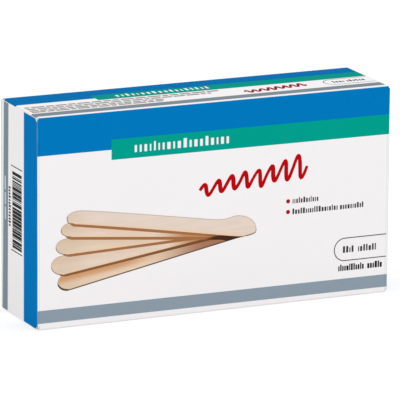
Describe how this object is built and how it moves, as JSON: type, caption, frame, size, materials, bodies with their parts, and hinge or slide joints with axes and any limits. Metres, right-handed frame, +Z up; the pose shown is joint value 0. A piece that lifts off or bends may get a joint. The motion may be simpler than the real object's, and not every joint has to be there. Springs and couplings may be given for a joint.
{
  "type": "folding carton of tongue depressors",
  "caption": "Closed tuck-end folding carton with plain printed colour bands, packed with flat wooden tongue depressors. Both end flaps swing open on their creases.",
  "frame": {"origin": "centre of the carton's base, on the surface it stands on", "axes": "+X along the long side towards the right end flap, +Y from the front panel to the back panel, +Z up"},
  "size_m": [0.155, 0.0382, 0.0868],
  "materials": {
    "printed_board": "coated folding board with printed bands, satin",
    "birch": "sanded bare birch"
  },
  "bodies": {
    "carton": {"carton_sleeve": "printed_board", "front_depressors_lower": "birch", "front_depressors_middle": "birch", "front_depressors_upper": "birch", "back_depressors_lower": "birch", "back_depressors_middle": "birch", "back_depressors_upper": "birch"},
    "left_flap": {"left_end_flap": "printed_board"},
    "right_flap": {"right_end_flap": "printed_board"}
  },
  "joints": [
    {"name": "left_flap_hinge", "type": "hinge", "parent": "carton", "child": "left_flap", "pos_m": [-0.07727, -0.01886, 0.0434], "axis": [0, 0, 1], "range_deg": [0, 180]},
    {"name": "right_flap_hinge", "type": "hinge", "parent": "carton", "child": "right_flap", "pos_m": [0.07727, -0.01886, 0.0434], "axis": [0, 0, -1], "range_deg": [0, 180]}
  ]
}
